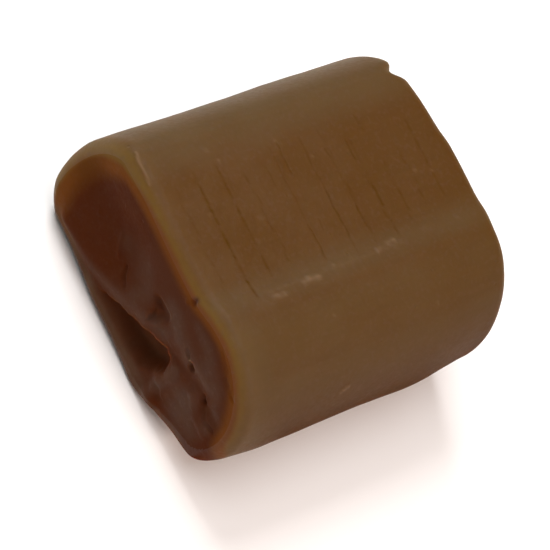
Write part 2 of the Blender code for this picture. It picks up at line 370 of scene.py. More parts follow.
# Mesh: faces across, along and up the block, and how many of them make each rounded rim
COLUMNS = 104
ROWS = 190
LAYERS = 56
RIM_STEPS = 6
RIM_SHARE = 0.86            # share of a cut face, from its middle, that lies inside its rim
ARC_STEPS = 60              # points on each curve of the section before it is spaced evenly
SKIN_OVER_RIM = 0.9 * MM    # how far the skin reaches over the rim into a cut
SLOPE_STEP = 0.005          # share of a side over which its slope is measured
ROW_SAMPLES = 4000
ROWS_LEAST = 0.35           # how close the rows lie between the lines across the face
ROWS_MOST = 1.5             # and at a line at most
ROWS_NEAR_LINE = 0.2        # how far to each side of a line, in millimetres

# Stage: each light's name, the setting of its power, its place and width in metres, and its colour
LIGHTS = (
    ("key_light", "key_power", (-0.25, 0.02, 0.30), 0.20, "#FFFFFF"),
    ("top_light", "top_power", (-0.04, -0.13, 0.55), 0.40, "#FFFFFF"),
    ("fill_light", "fill_power", (0.34, 0.0, 0.22), 0.22, "#FFE6DA"),
)
WORLD_STRENGTH = 0.08
FLOOR_REACH = 1.5           # from its middle to each side, in metres
CAMERA_AIM = (0.14, 1.87, -5.34)    # from the middle of the block, in millimetres


def linear(hex_colour):
    """Linear colour with full alpha for an sRGB hex value such as #7A5A30."""
    shares = [int(hex_colour[place:place + 2], 16) / 255 for place in (1, 3, 5)]
    return (*(s / 12.92 if s <= 0.04045 else ((s + 0.055) / 1.055) ** 2.4 for s in shares), 1.0)


# ---- sizes and colours


class FudgeShapeSettings(bpy.types.PropertyGroup):
    """Sizes of the block and of the marks on it."""

    length: bpy.props.FloatProperty(
        name="Length", description="From cut to cut, at the edges of the cuts",
        default=24.0 * MM, subtype="DISTANCE", unit="LENGTH", precision=5)
    width: bpy.props.FloatProperty(
        name="Width", description="Across the block, from edge to edge",
        default=BOX_HIGH.x - BOX_LOW.x, subtype="DISTANCE", unit="LENGTH", precision=5)
    roll_height: bpy.props.FloatProperty(
        name="Roll height", description="Top of the soft roll along the low edge",
        default=BOX_HIGH.z - BOX_LOW.z, subtype="DISTANCE", unit="LENGTH", precision=5)
    crease_drop: bpy.props.FloatProperty(
        name="Crease drop", description="How far the flat face lies below the roll",
        default=0.5 * MM, subtype="DISTANCE", unit="LENGTH", precision=5)
    crease_x: bpy.props.FloatProperty(
        name="Crease place", description="Where the flat face turns up into the roll",
        default=3.4 * MM, subtype="DISTANCE", unit="LENGTH", precision=5)
    rim_radius: bpy.props.FloatProperty(
        name="Rim radius", description="Rounding of the rims of both cuts",
        default=1.1 * MM, subtype="DISTANCE", unit="LENGTH", precision=5)
    line_depth: bpy.props.FloatProperty(
        name="Line depth", description="Depth of the deepest line pressed across the face",
        default=0.04 * MM, subtype="DISTANCE", unit="LENGTH", precision=5)
    line_width: bpy.props.FloatProperty(
        name="Line width", description="Half the width of a line pressed across the face",
        default=0.075 * MM, subtype="DISTANCE", unit="LENGTH", precision=5)
    bead_height: bpy.props.FloatProperty(
        name="Bead height", description="Height of the tallest bead along the crease",
        default=0.12 * MM, subtype="DISTANCE", unit="LENGTH", precision=5)
    sway: bpy.props.FloatProperty(
        name="Hand-made sway", description="How far the soft sides wander from even",
        default=0.05 * MM, subtype="DISTANCE", unit="LENGTH", precision=5)


class FudgeFinishSettings(bpy.types.PropertyGroup):
    """Colours of the fudge."""

    skin: bpy.props.FloatVectorProperty(
        name="Skin", description="The pressed and rolled sides",
        default=linear("#513619"), size=4, subtype="COLOR")
    skin_deep: bpy.props.FloatVectorProperty(
        name="Deep skin", description="Where the sides are a little darker",
        default=linear("#4D300D"), size=4, subtype="COLOR")
    # Painted sheen with some rubbed wear: the paler colour where the edges, the roll and the crease
    # catch the light
    worn: bpy.props.FloatVectorProperty(
        name="Rubbed edge", description="The rounded edges, rubbed a little duller and paler",
        default=linear("#534025"), size=4, subtype="COLOR")
    # Painted shade on the low rounded side, where it turns down towards the floor
    low_side: bpy.props.FloatVectorProperty(
        name="Low side",
        description="The low rounded side, darker and duller where it leant on the tray",
        default=linear("#3D230F"), size=4, subtype="COLOR")
    # Painted shade in the bottoms of the narrow lines across the face
    line: bpy.props.FloatVectorProperty(
        name="Line", description="The bottom of the lines across the face",
        default=linear("#482B08"), size=4, subtype="COLOR")
    # Pale colour of the crease beads and specks, painted partly for their glints; also the painted
    # glints on the rims and the painted light from the floor on the sole
    bead: bpy.props.FloatVectorProperty(
        name="Bead", description="The pale sugary beads along the crease",
        default=linear("#69523A"), size=4, subtype="COLOR")
    # Painted glow of light through the thin rim of a cut
    thin_rim: bpy.props.FloatVectorProperty(
        name="Thin rim", description="The thin see-through rim of a cut",
        default=linear("#6C5222"), size=4, subtype="COLOR")
    # Painted amber glow of light just inside the rim of a cut
    amber: bpy.props.FloatVectorProperty(
        name="Amber", description="The part of a cut just inside its rim",
        default=linear("#63370E"), size=4, subtype="COLOR")
    # Dark inside of a cut; also painted shade on its foot, its tip and the rim pit
    dark: bpy.props.FloatVectorProperty(
        name="Dark inside", description="The dark inside of a cut",
        default=linear("#461E08"), size=4, subtype="COLOR")
    film: bpy.props.FloatVectorProperty(
        name="Film", description="The dull smear where the knife dragged the cut",
        default=linear("#4D3427"), size=4, subtype="COLOR")
    hollow: bpy.props.FloatVectorProperty(
        name="Hollow", description="The torn hollow in the near cut",
        default=linear("#482613"), size=4, subtype="COLOR")
    streak: bpy.props.FloatVectorProperty(
        name="Streaks", description="What the faint streaks along the block are darkened by",
        default=linear("#A08870"), size=4, subtype="COLOR")
    fleck: bpy.props.FloatVectorProperty(
        name="Flecks", description="Pale flecks of dry sugar",
        default=linear("#5C4437"), size=4, subtype="COLOR")


class FudgeStageSettings(bpy.types.PropertyGroup):
    """The floor, the light and the camera."""

    floor: bpy.props.FloatVectorProperty(
        name="Floor", description="Colour of the pale floor",
        default=linear("#F7F6F5"), size=4, subtype="COLOR")
    key_power: bpy.props.FloatProperty(
        name="Key light", description="Strength of the large light over the high edge",
        default=1.45, min=0.0, unit="POWER")
    top_power: bpy.props.FloatProperty(
        name="Top light", description="Strength of the wide light overhead",
        default=1.6, min=0.0, unit="POWER")
    fill_power: bpy.props.FloatProperty(
        name="Fill light", description="Strength of the light beside the low edge",
        default=1.35, min=0.0, unit="POWER")
    azimuth: bpy.props.FloatProperty(
        name="Camera azimuth", description="Way round the block that the camera stands",
        default=math.radians(15.71), subtype="ANGLE", unit="ROTATION")
    elevation: bpy.props.FloatProperty(
        name="Camera elevation", description="How high the camera looks down from",
        default=math.radians(52.96), subtype="ANGLE", unit="ROTATION")
    roll: bpy.props.FloatProperty(
        name="Camera roll", description="Turn of the camera about its own line of sight",
        default=math.radians(50.43), subtype="ANGLE", unit="ROTATION")
    distance: bpy.props.FloatProperty(
        name="Camera distance", description="From the camera to the point it looks at",
        default=250.7 * MM, subtype="DISTANCE", unit="LENGTH", precision=4)
    lens: bpy.props.FloatProperty(
        name="Lens", description="Focal length of the camera, in millimetres",
        default=229.09, subtype="DISTANCE_CAMERA")


# ---- shape of the block


def rise(value, start, end):
    """0 up to start and 1 from end on, with a smooth rise between. End may be the lower one."""
    share = np.clip((value - start) / (end - start), 0.0, 1.0)
    return share * share * (3.0 - 2.0 * share)


def between(value, start, end, fade):
    """1 between start and end, with a smooth fall to 0 inside both, as long as fade."""
    return rise(value, start, start + fade) * rise(value, end, end - fade)


def hump(value, middle, half_width):
    """A soft round hump: 1 in its middle, and almost 0 two half widths away."""
    return np.exp(-((value - middle) / half_width) ** 2)


def ripple(along, waves, number=1):
    """The sum of some waves of (height, rate, shift). Another number shifts them elsewhere."""
    return sum(height * np.sin(along * rate + number * shift) for height, rate, shift in waves)


def corner(centre, reach, quarter):
    """A rounded corner about centre, anticlockwise, from 0 at +X in quarter turns."""
    turn = np.linspace(0.0, math.pi / 2, ARC_STEPS)
    along = np.cos(turn) ** (2.0 / CORNER_POWER)
    across = np.sin(turn) ** (2.0 / CORNER_POWER)
    x_sign, z_sign = ((1, 1), (-1, 1), (-1, -1), (1, -1))[quarter]
    if quarter % 2:
        along, across = across, along
    return np.column_stack([centre[0] + x_sign * reach[0] * along,
                            centre[1] + z_sign * reach[1] * across])


def section_sides(shape):
    """The section's four sides, each from mid-corner to mid-corner towards +X or +Z."""
    left, right = -shape.width / 2, shape.width / 2
    face_height = shape.roll_height - shape.crease_drop
    low_top = corner((right - LOW_EDGE_IN, LOW_EDGE_UP),
                     (LOW_EDGE_IN, shape.roll_height - LOW_EDGE_UP), 0)
    high_top = corner((left + HIGH_EDGE_IN, HIGH_EDGE_UP),
                      (HIGH_EDGE_IN, face_height - HIGH_EDGE_UP), 1)
    high_base = corner((left + BASE_HIGH_IN, HIGH_EDGE_UP), (BASE_HIGH_IN, HIGH_EDGE_UP), 2)
    low_base = corner((right - BASE_LOW_IN, LOW_EDGE_UP), (BASE_LOW_IN, LOW_EDGE_UP), 3)

    face_x = np.linspace(low_top[-1, 0], high_top[0, 0], 4 * ARC_STEPS)
    turned_up = rise(face_x, shape.crease_x - CREASE_SPREAD, shape.crease_x + CREASE_SPREAD)
    face = np.column_stack([face_x, face_height + shape.crease_drop * turned_up])

    half = ARC_STEPS // 2
    return {
        "base": np.vstack([high_base[half:], low_base[:half + 1]]),
        "low edge": np.vstack([low_base[half:], low_top[:half + 1]]),
        "top": np.vstack([low_top[half:], face[1:-1], high_top[:half + 1]])[::-1],
        "high edge": np.vstack([high_top[half:], high_base[:half + 1]])[::-1],
    }


def along_side(side, share):
    """Points at shares of a side's length."""
    steps = np.linalg.norm(np.diff(side, axis=0), axis=1)
    reached = np.concatenate([[0.0], np.cumsum(steps)]) / steps.sum()
    return np.column_stack([np.interp(share, reached, side[:, axis]) for axis in (0, 1)])


def outline_points(sides, u, w):
    """Points of the section, and the directions into the block, for (u, w) on the square's edge."""
    points, inward = np.zeros((len(u), 2)), np.zeros((len(u), 2))
    on_flat = np.abs(w) >= np.abs(u)
    for name, chosen, run, turn in (
        ("top", on_flat & (w > 0), u, -1), ("base", on_flat & (w <= 0), u, 1),
        ("low edge", ~on_flat & (u > 0), w, 1), ("high edge", ~on_flat & (u <= 0), w, -1),
    ):
        share = (run[chosen] + 1) / 2
        before = along_side(sides[name], np.maximum(share - SLOPE_STEP, 0.0))
        after = along_side(sides[name], np.minimum(share + SLOPE_STEP, 1.0))
        tangent = (after - before) / np.linalg.norm(after - before, axis=1)[:, None] * turn
        points[chosen] = along_side(sides[name], share)
        inward[chosen] = np.column_stack([-tangent[:, 1], tangent[:, 0]])
    return points, inward


def path_strength(x, z, flat, path):
    """How strongly a mark shows: 1 on its path of (x, z, half width), and 0 past its sides."""
    strongest = np.zeros(len(x))
    for (x0, z0, half0), (x1, z1, half1) in zip(path, path[1:]):
        dx, dz = x1 - x0, z1 - z0
        share = np.clip(((x - x0) * dx + (z - z0) * dz) / (dx * dx + dz * dz), 0.0, 1.0)
        aside = np.hypot(x - x0 - share * dx, z - z0 - share * dz)
        half = half0 + (half1 - half0) * share
        strongest = np.maximum(strongest, rise(aside / half, 1.0, flat))
    return strongest


def marks_depth(across, up, marks):
    """Depth of all the marks of a cut, with places and depth in millimetres."""
    return sum(depth * path_strength(across, up, flat, path)
               for depth, flat, path in marks.values())


def hollow_strength(across, up):
    """How strongly the hollow under the flap shows at places given in millimetres."""
    top = np.interp(across, *np.array(HOLLOW_TOP).T) + ripple(across, HOLLOW_TOP_WAVES)
    floor = np.interp(across, *np.array(HOLLOW_FLOOR).T)
    end = HOLLOW_END + ripple(up, HOLLOW_END_WAVES)
    return (rise(up, top, top - HOLLOW_TOP_FADE) * rise(up, floor, floor + HOLLOW_FLOOR_FADE)
            * rise(across, end, end - HOLLOW_END_FADE))


def hollow_share(across):
    """The hollow's share of its full depth and darkness."""
    return HOLLOW_SHALLOW + (1 - HOLLOW_SHALLOW) * rise(across, *HOLLOW_DEEPENS)


def pulled_places(shape, x, y, z):
    """Places after the dip, pinches, falls and lifts that the knife and the tray left."""
    from_near, from_far = y + shape.length / 2, shape.length / 2 - y
    face_height = shape.roll_height - shape.crease_drop
    dip = NEAR_DIP * hump(x, NEAR_DIP_X, NEAR_DIP_WIDTH) * np.exp(-from_near / NEAR_DIP_REACH)
    pinch = FAR_PINCH * rise(from_far, *FAR_PINCH_REACH)
    pinch += NEAR_PINCH * rise(from_near, *NEAR_PINCH_REACH) * rise(z, 0.0, LOW_EDGE_UP)
    face_end = HIGH_EDGE_IN - shape.width / 2
    fall = FACE_FALL * rise(x, face_end + FACE_FALL_REACH, face_end) * rise(z, 0.0, face_height)
    lift = FOOT_LIFT * rise(np.abs(x - FOOT_LIFT_X), *FOOT_LIFT_ASIDE)
    lift *= rise(from_near, *FOOT_LIFT_REACH) * rise(z, *FOOT_LIFT_UP)
    undercut = NEAR_UNDERCUT * rise(x, *NEAR_UNDERCUT_ACROSS)
    undercut *= rise(from_near, *NEAR_UNDERCUT_REACH) * rise(z, *NEAR_UNDERCUT_UP)
    return x * (1 - np.where(x > 0, pinch, 0.0)), y + undercut, z * (1 - dip) - fall + lift


def block_places(shape, places):
    """Places on the plain block for places (u, v, w) on the surface of the cube from -1 to 1.

    Also gives how far each place lies inside the rim of a cut.
    """
    u, v, w = places.T
    ring = np.maximum(np.abs(u), np.abs(w))
    rim = np.maximum(ring, TINY)
    edge, inward = outline_points(section_sides(shape), u / rim, w / rim)
    low_foot = rise(edge[:, 0], *SHARP_FOOT_ACROSS) * rise(edge[:, 1], *SHARP_FOOT_UP) * (v < 0)
    radius = shape.rim_radius * (1 - SHARP_FOOT * low_foot)
    on_cut = np.abs(v) > 1 - TINY

    turn = math.pi / 2 * (1 - np.maximum(ring - RIM_SHARE, 0.0) / (1 - RIM_SHARE))
    turn = np.where(on_cut, turn, 0.0)
    scale = np.where(on_cut, np.minimum(ring / RIM_SHARE, 1.0), 1.0)
    middle = np.array([0.0, (shape.roll_height - shape.crease_drop) / 2])
    inside = edge + inward * (radius * (1 - np.cos(turn)))[:, None]
    x, z = (middle + (inside - middle) * scale[:, None]).T
    y = v * (shape.length / 2 - radius * (1 - np.sin(turn)))
    from_rim = np.where(on_cut, np.hypot(edge[:, 0] - x, edge[:, 1] - z), 0.0)

    x, y, z = pulled_places(shape, x, y, z)
    across, up = x / MM, z / MM
    hollow = HOLLOW_DEPTH * hollow_share(across) * hollow_strength(across, up)
    near_marks = MM * (marks_depth(across, up, NEAR_CUT_MARKS) + hollow) * np.sin(turn)
    bulge = FAR_BULGE * (1 - (2 * x / shape.width) ** 2)
    far_marks = MM * marks_depth(across, up, FAR_CUT_MARKS)
    y += np.where(on_cut & (v < 0), near_marks, 0.0)
    y += np.where(on_cut & (v > 0), bulge - far_marks, 0.0)
    return np.column_stack([x, y, z]), from_rim


def across_places(even, count):
    """Move even grid places so that the outer steps of a cut face fall in its rounded rim."""
    rim_start = 1 - 2 * RIM_STEPS / count
    size = np.abs(even)
    inner = size / rim_start * RIM_SHARE
    outer = RIM_SHARE + (size - rim_start) / (1 - rim_start) * (1 - RIM_SHARE)
    return np.sign(even) * np.where(size <= rim_start, inner, outer)


def grid_block(segments):
    """Cube from -1 to 1 whose faces are cut into an even grid, twice as fine on the near cut."""
    grid = bmesh.new()
    bmesh.ops.create_cube(grid, size=2.0)
    for axis, count in enumerate(segments):
        along = [edge for edge in grid.edges
                 if abs(edge.verts[0].co[axis] - edge.verts[1].co[axis]) > 1.0]
        bmesh.ops.subdivide_edges(grid, edges=along, cuts=count - 1, use_grid_fill=True)
    near = [edge for edge in grid.edges if max(vert.co.y for vert in edge.verts) < -1 + TINY]
    bmesh.ops.subdivide_edges(grid, edges=near, cuts=1, use_grid_fill=True)
    return grid


def row_places(even, length):
    """Move even grid places along the block so that most rows fall at the lines across the face."""
    reach = length / 2 / MM
    along = np.linspace(-reach, reach, ROW_SAMPLES)
    crowd = ROWS_LEAST + sum(hump(along, line_y, ROWS_NEAR_LINE) for line_y, *_ in FACE_LINES)
    passed = np.cumsum(np.minimum(crowd, ROWS_MOST))
    passed = (passed - passed[0]) / (passed[-1] - passed[0])
    return np.interp((even + 1) / 2, passed, along / reach)


def wander(places, size, seed):
    """Smooth values from about -1 to 1 over places in metres, in lumps of a size in mm."""
    shift = Vector([seed * part for part in LUMP_SHIFT])
    return np.array([noise.noise(Vector(place) / (size * MM) + shift) for place in places.tolist()])


def line_strength(across, along, width):
    """How strongly the lines across the face show at places given in millimetres."""
    strongest = np.zeros(len(across))
    for number, (line_y, start, end, depth) in enumerate(FACE_LINES):
        aside = hump(along, line_y + ripple(across, LINE_WAVES, number), width)
        inside = between(across, start, end, LINE_FADE)
        if depth >= HEALED_LINE:
            healed = between(across, *HEALED_ACROSS, HEALED_FADE)
            inside = np.maximum(inside, FAINT_LINE / depth * healed)
        thinned = LINE_LEAST + (ripple(across, LINE_THIN_PLACES, number)
                                * ripple(across, LINE_THIN_STRETCHES, number))
        strongest = np.maximum(strongest, depth * aside * inside * thinned)
    return strongest


def bead_strength(across, along):
    """How strongly the beads along the crease and the specks show at places in millimetres."""
    strongest = np.zeros(len(across))
    for number, (start, end, bead_x, height) in enumerate(CREASE_BEADS):
        middle = bead_x + ripple(along, BEAD_WAVES, number)
        aside = hump(across, middle, BEAD_WIDTH + BEAD_WIDTH_MORE * height)
        lumps = BEAD_LEAST + ripple(along, BEAD_LUMPS, number)
        inside = between(along, start, end, BEAD_FADE)
        strongest = np.maximum(strongest, height * aside * inside * lumps)
    for speck_x, speck_y, half in SPECKS:
        away = np.hypot(across - speck_x, along - speck_y)
        strongest = np.maximum(strongest, SPECK_HEIGHT * hump(away, 0.0, half))
    return strongest


def set_attribute(mesh, name, values):
    """Keep one number per vertex, which the material reads by name."""
    layer = mesh.attributes.new(name, "FLOAT", "POINT")
    layer.data.foreach_set("value", values.astype(np.float32))


def read_vectors(source, name):
    """The places or directions that are kept under a name, as an array."""
    numbers = np.zeros(len(source) * 3)
    source.foreach_get(name, numbers)
    return numbers.reshape(-1, 3)


def move_vertices(mesh, places):
    """Move all vertices to new places, given as an array."""
    mesh.vertices.foreach_set("co", places.ravel())
    mesh.update()


def read_surface(shape, mesh, plain, inside):
    """What the marks and colours go by: a number for each vertex, with lengths in millimetres."""
    x, y, z = plain.T
    out = read_vectors(mesh.vertex_normals, "vector")
    out_x, out_y, out_z = out.T
    return SimpleNamespace(
        across=x / MM, along=y / MM, up=z / MM, inside=inside / MM, plain=plain,
        out=out, out_x=out_x, out_y=out_y, out_z=out_z,
        by_near=y < 0,
        past_crease=(x - shape.crease_x) / MM,
        from_cut=(shape.length / 2 - np.abs(y)) / MM,
        radii=(y + shape.length / 2) / shape.rim_radius,
        on_face=rise(out_z, *TURNED_UP),
        on_near=rise(-out_y, *TURNED_TO_CUT) * (y < 0),
        on_far=rise(out_y, *TURNED_TO_CUT) * (y > 0),
        off_base=1 - rise(-out_z, *TURNED_DOWN),
        broad=wander(plain, BROAD_LUMPS, seed=1),
        fine=wander(plain, FINE_LUMPS, seed=2))


def relief(shape, at):
    """How strongly lines, and beads and painted glints, show, and how far each vertex moves
    outwards, in metres.
    """
    lines = line_strength(at.across, at.along, shape.line_width / MM) * at.on_face
    beads_and_glints = bead_strength(at.across, at.along) * at.on_face
    # Painted glints, a little raised
    for path in PAINTED_GLINTS:
        glint = path_strength(at.across, at.along, 0.0, path) * (at.up > GLINTS_UP)
        beads_and_glints = np.maximum(beads_and_glints, GLINT_HEIGHT * glint)
    tears = marks_depth(at.across, at.up, NEAR_CUT_TEARS) * at.on_near
    tears += marks_depth(at.across, at.up, FAR_CUT_TEARS) * at.on_far
    torn = path_strength(at.across, at.up, TORN_FLAT, TORN_PATH) * at.on_near
    on_side = rise(np.abs(at.out_z), *TURNED_AWAY)
    sway = at.broad * (1 + on_side) * (1 - at.on_near)
    sway += at.fine * (FINE_SHARE + TORN_SHARE * torn)
    raised = shape.sway * sway - shape.line_depth * lines + shape.bead_height * beads_and_glints - MM * tears
    return lines, beads_and_glints, raised * at.off_base


def skin_strengths(at, lines):
    """How strongly each colour of the skin shows on each vertex, with its painted sheen and painted
    shade.
    """
    by_crease = hump(at.past_crease, 0.0, CREASE_HIGHLIGHT_WIDTH) * rise(at.up, *CREASE_HIGHLIGHT_UP)
    off_cuts = rise(np.abs(at.out_y), *TURNED_AWAY)
    low_side = rise(at.out_z, *LOW_SIDE_TURN_UP) * rise(at.out_x, *LOW_SIDE_TURN_OUT)
    worn = np.maximum.reduce([
        SHEEN_SIDES * rise(at.out_z, *SHEEN_SIDES_TURN) * off_cuts,
        SHEEN_ROLL * rise(at.past_crease, 0.0, 2 * CREASE_SPREAD / MM),
        CREASE_HIGHLIGHT * by_crease,
        SHEEN_BAND * rise(at.across, *SHEEN_BAND_ACROSS),
    ]) * at.off_base * (1 - SHADE_OVER_SHEEN * low_side)
    rubbed = RUBBED * rise(at.across, *RUBBED_ACROSS) * rise(at.from_cut, *RUBBED_FROM_CUT)
    rubbed *= at.off_base * at.by_near
    bared = LOW_SIDE_RUBBED * rubbed * rise(at.up, *LOW_SIDE_RUBBED_UP)
    return {
        "skin_deep": SKIN_DEEP * rise(at.along, *SKIN_DEEP_ALONG),
        "worn": np.maximum(worn, rubbed) * (SHEEN_AND_WEAR_LEAST + SHEEN_AND_WEAR_LUMPS * at.broad),
        "low_side": LOW_SIDE_SHADE * low_side * (1 - bared),
        "line": lines,
    }


def rim_strengths(at):
    """How strongly the colours from the rim of a cut to its dark inside show on each vertex: a
    painted glow at the rim, and painted shade on the foot, the tip and the rim pit.
    """
    less = DEPTH_LESS * rise(at.across, *DEPTH_LESS_ACROSS) * rise(at.up, *DEPTH_LESS_UP)
    foot_up = FOOT_UP + FOOT_UP_MORE * rise(at.across, *FOOT_UP_MORE_ACROSS)
    foot = rise(at.across, *FOOT_ACROSS) * rise(at.up, foot_up, foot_up - FOOT_FADE)
    tip = rise(at.across, *TIP_ACROSS) * rise(at.up, *TIP_UP)
    depth = at.inside * (DEPTH_INSIDE - less) + DEPTH_BROAD * at.broad + DEPTH_FINE * at.fine
    depth += FOOT_SHADE * foot * rise(at.radii, *FOOT_RADII)
    depth -= CORNER_GLOW * hump(at.across, *CORNER_ACROSS) * hump(at.up, *CORNER_UP)
    depth += TIP_SHADE * tip * rise(at.radii, *TIP_RADII)

    skin = SKIN_GLOW * rise(at.from_cut, *SKIN_GLOW_FROM_CUT) * at.off_base * at.by_near
    high_edge = rise(at.across, *EDGE_GLOW_ACROSS) * rise(at.radii, *EDGE_GLOW_RADII)
    spot = path_strength(at.across, at.up, 0.0, RIM_PIT_SHADE_PATH) * at.on_near
    return {
        "thin_rim": np.maximum.reduce([RIM_GLOW * rise(at.inside, *RIM_GLOW_INSIDE), skin,
                                       EDGE_GLOW * high_edge]),
        "amber": rise(depth, *AMBER_GLOW_DEPTH) * (1 - TIP_LESS_GLOW * tip * at.by_near),
        "dark": np.maximum(rise(depth, *DARK_DEPTH), RIM_PIT_SHADE * spot),
    }


def smear_strengths(at, beads_and_glints):
    """How strongly the beads and painted glints, the film, the painted light on the sole and the
    hollow show on each vertex.
    """
    hollow = hollow_strength(at.across, at.up)
    pocket = POCKET * path_strength(at.across, at.up, POCKET_FLAT, POCKET_PATH)
    patchy = FILM_LEAST + FILM_LUMPS_SHARE * wander(at.plain, FILM_LUMPS, seed=3)
    patchy += FILM_FINE_SHARE * at.fine

    film = sum(strength * path_strength(at.across, at.up, 0.0, path)
               for strength, path in FILM_PATCHES)
    film += THIN_FILM * rise(at.across, *THIN_FILM_ACROSS) * rise(at.inside, *THIN_FILM_INSIDE)
    film = np.clip(film, 0.0, 1.0) * (1 - np.maximum(hollow, pocket)) * at.on_near
    far_lumps = rise(wander(at.plain, FAR_FILM_LUMPS, seed=4), *FAR_FILM_HIGH_LUMPS)
    far_film = FAR_FILM * far_lumps * rise(at.inside, *FAR_FILM_INSIDE) * at.on_far

    top = SOLE_UP + SOLE_UP_MORE * rise(at.across, *SOLE_UP_MORE_ACROSS)
    sole = rise(at.up, *SOLE_START) * rise(at.up, top, top - SOLE_FADE)
    sole *= rise(at.across, *SOLE_ACROSS) * rise(at.radii, *FOOT_RADII) * patchy
    sole_light = SOLE_LIGHT * sole * rise(at.across, *SOLE_LIGHT_ACROSS)
    all_film = [film * patchy, far_film * patchy, SOLE_FILM_AND_LIGHT * sole]
    return {
        "bead": np.maximum(beads_and_glints, sole_light),
        "film": np.clip(np.maximum.reduce(all_film), 0.0, 1.0),
        "hollow": np.maximum(hollow * hollow_share(at.across), pocket) * at.on_near,
    }


def make_block_mesh(shape):
    """The block with the fine marks on its face and its cuts."""
    grid = grid_block((COLUMNS, ROWS, LAYERS))
    mesh = bpy.data.meshes.new("fudge")
    grid.to_mesh(mesh)
    grid.free()
    cube = read_vectors(mesh.vertices, "co")
    cube[:, 0] = across_places(cube[:, 0], COLUMNS)
    cube[:, 2] = across_places(cube[:, 2], LAYERS)
    cube[:, 1] = row_places(cube[:, 1], shape.length)
    plain, inside = block_places(shape, cube)
    for face in mesh.polygons:
        face.material_index = int(min(inside[list(face.vertices)]) > SKIN_OVER_RIM)
    move_vertices(mesh, plain)

    at = read_surface(shape, mesh, plain, inside)
    lines, beads_and_glints, raised = relief(shape, at)
    finished = plain + at.out * raised[:, None]
    # The block fills the solid's own box
    low, high = finished.min(axis=0), finished.max(axis=0)
    box_size = np.array(BOX_HIGH) - np.array(BOX_LOW)
    move_vertices(mesh, np.array(BOX_LOW) + (finished - low) * box_size / (high - low))

    for strengths in (skin_strengths(at, lines), rim_strengths(at), smear_strengths(at, beads_and_glints)):
        for name, strength in strengths.items():
            set_attribute(mesh, name, strength)
    return mesh


# ---- fudge finish


LAYERS_OF_COLOUR = ("skin_deep", "worn", "line", "thin_rim", "amber", "low_side", "dark", "film",
                    "hollow", "bead")
LOW_SIDE_DULL = 1.12        # how much of the shine the low side takes away
# Sockets of a node that mixes two colours
MIX_SHARE, MIX_UNDER, MIX_OVER, MIXED = 0, 6, 7, 2


def add_node(material, kind, settings=None, links=None):
    """Add a node, set its properties and inputs, and link its inputs to other nodes' outputs."""
    tree = material.node_tree
    node = tree.nodes.new(kind)
    for name, value in (settings or {}).items():
        if isinstance(name, str) and hasattr(node, name):
            setattr(node, name, value)
        else:
            node.inputs[name].default_value = value
    for name, output in (links or {}).items():
        tree.links.new(output, node.inputs[name])
    return node


